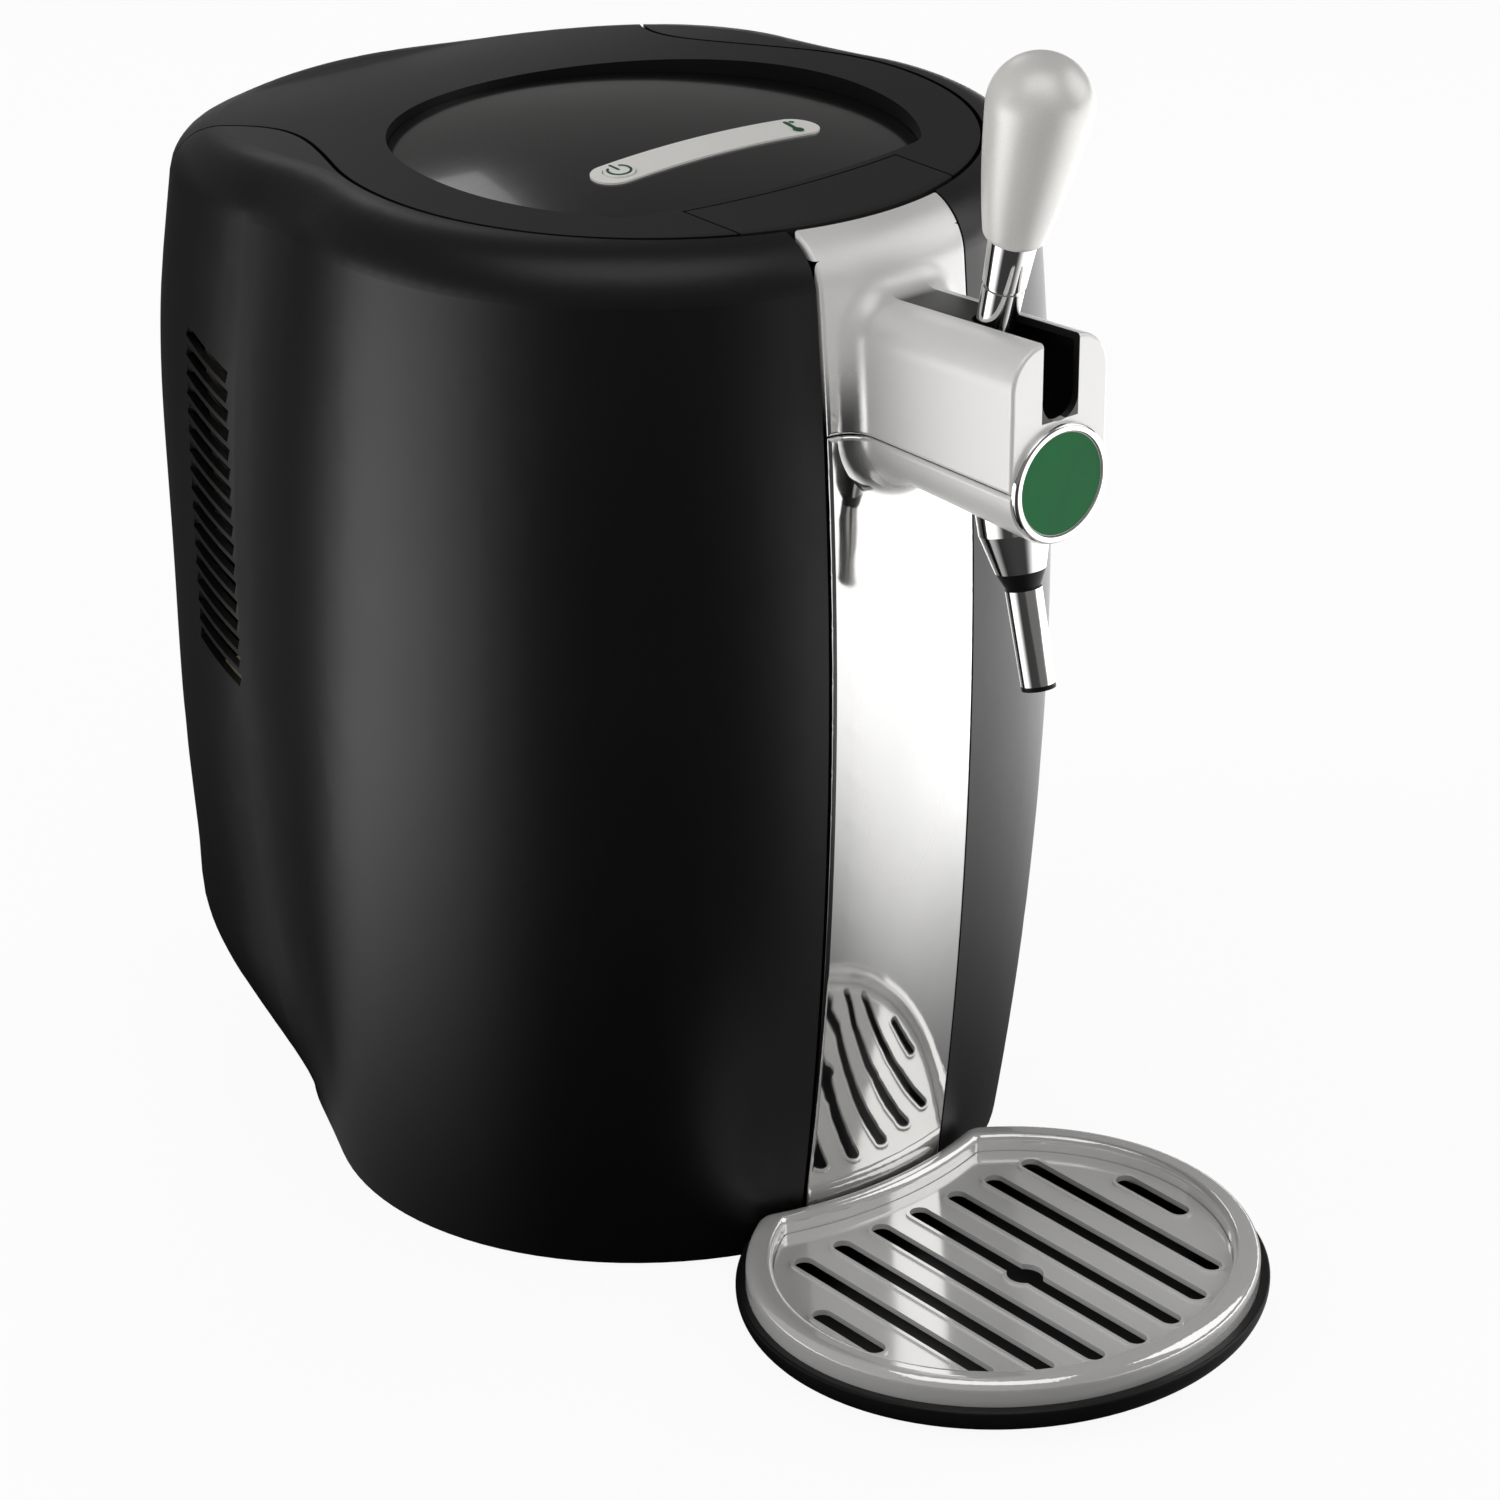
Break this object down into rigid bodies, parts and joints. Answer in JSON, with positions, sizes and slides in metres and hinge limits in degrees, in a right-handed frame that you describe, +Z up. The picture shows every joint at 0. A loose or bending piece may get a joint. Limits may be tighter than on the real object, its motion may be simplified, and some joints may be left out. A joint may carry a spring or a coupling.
{
  "type": "mini keg beer dispenser",
  "caption": "Black countertop beer dispenser with a domed lid over the keg well, chromed tap column, pear lever and a drip tray.",
  "frame": {"origin": "on the table, under the middle of the bounding box", "axes": "+Z up; the tap and the drip tray face -Y; X is the width"},
  "size_m": [0.2872, 0.4866, 0.4533],
  "materials": {
    "body_black": "satin moulded black",
    "lid_grey": "satin dark grey",
    "key_grey": "matt dark grey",
    "dome_black": "glossy black",
    "strip_silver": "satin silver with two plain symbols",
    "chrome": "polished chrome",
    "satin_chrome": "satin chrome",
    "handle_silver": "satin pearl silver",
    "badge_green": "gloss green",
    "black_plastic": "moulded black",
    "tray_black": "satin moulded black",
    "liner_grey": "smooth light grey",
    "foam": "rigid foam",
    "aluminium": "plain",
    "steel": "plain",
    "rubber": "soft black",
    "ceramic": "white ceramic",
    "board_green": "circuit board",
    "brass": "plain",
    "white_plastic": "moulded white"
  },
  "bodies": {
    "cabinet": {"outer_housing": "body_black", "base_plate": "black_plastic", "foot_pads": "rubber", "rear_panel": "body_black", "panel_screws": "steel", "keg_liner": "liner_grey", "cooling_cup": "aluminium", "insulation_jacket": "foam", "top_deck": "black_plastic", "lid_gasket": "rubber", "bulkhead": "black_plastic", "cold_block": "aluminium", "peltier_module": "ceramic", "heat_sink": "aluminium", "fan_frame": "black_plastic", "control_board": "board_green", "power_supply": "board_green", "temperature_probe": "steel", "power_inlet": "black_plastic", "inlet_pins": "brass", "lid_hinge_pin": "steel", "latch_keeper": "black_plastic", "tap_column": "chrome", "head_hinge_pin": "steel", "tube_cradle": "black_plastic", "spout_cone": "chrome", "spout_collar": "black_plastic", "spout_tube": "chrome", "spout_tip": "black_plastic"},
    "lid": {"lid_shell": "lid_grey", "lid_liner": "liner_grey", "lid_dome": "dome_black", "control_strip": "strip_silver", "release_pins": "steel", "release_springs": "steel"},
    "power_key": {"power_key": "strip_silver"},
    "lid_release": {"lid_release": "key_grey"},
    "tap_head": {"tap_head": "satin_chrome", "badge_disc": "badge_green", "badge_bezel": "chrome", "lever_pin": "steel"},
    "tap_lever": {"lever_cam": "black_plastic", "lever_stem": "chrome", "lever_ferrule": "chrome", "lever_handle": "handle_silver"},
    "pinch_plunger": {"pinch_plunger": "white_plastic"},
    "drip_tray": {"drip_tray": "tray_black", "tray_rim": "chrome"},
    "drip_grid": {"drip_grid": "chrome"},
    "fan": {"fan_rotor": "black_plastic"}
  },
  "joints": [
    {"name": "lid_hinge", "type": "hinge", "parent": "cabinet", "child": "lid", "pos_m": [0, 0.22868, 0.343], "axis": [-1, 0, 0], "range_deg": [0, 95]},
    {"name": "lid_release_rock", "type": "hinge", "parent": "lid", "child": "lid_release", "pos_m": [0, -0.04532, 0.3685], "axis": [1, 0, 0], "range_deg": [0, 6], "stiffness_Nm_per_rad": 0.6, "springref_deg": -3.44, "deforming": ["release_springs"]},
    {"name": "power_key_press", "type": "slide", "parent": "lid", "child": "power_key", "axis": [0, 0, -1], "range_m": [0, 0.0008], "stiffness_N_per_m": 300, "springref_m": -0.001},
    {"name": "tap_head_tilt", "type": "hinge", "parent": "cabinet", "child": "tap_head", "pos_m": [0, -0.08382, 0.3696], "axis": [-1, 0, 0], "range_deg": [0, 20]},
    {"name": "tap_lever_pull", "type": "hinge", "parent": "tap_head", "child": "tap_lever", "pos_m": [0, -0.13082, 0.322], "axis": [1, 0, 0], "range_deg": [0, 48]},
    {"name": "pinch_plunger_lift", "type": "slide", "parent": "cabinet", "child": "pinch_plunger", "axis": [0, 0, 1], "range_m": [0, 0.0015]},
    {"name": "drip_tray_slide", "type": "slide", "parent": "cabinet", "child": "drip_tray", "axis": [0, -1, 0], "range_m": [0, 0.12]},
    {"name": "drip_grid_lift", "type": "slide", "parent": "drip_tray", "child": "drip_grid", "axis": [0, 0, 1], "range_m": [0, 0.02]},
    {"name": "fan_spin", "type": "hinge", "parent": "cabinet", "child": "fan", "pos_m": [0, 0.19368, 0.172], "axis": [0, 1, 0], "continuous": true}
  ],
  "couplings": [
    {"joint": "pinch_plunger_lift", "follows": "tap_lever_pull", "m_per_rad": 0.0017}
  ]
}
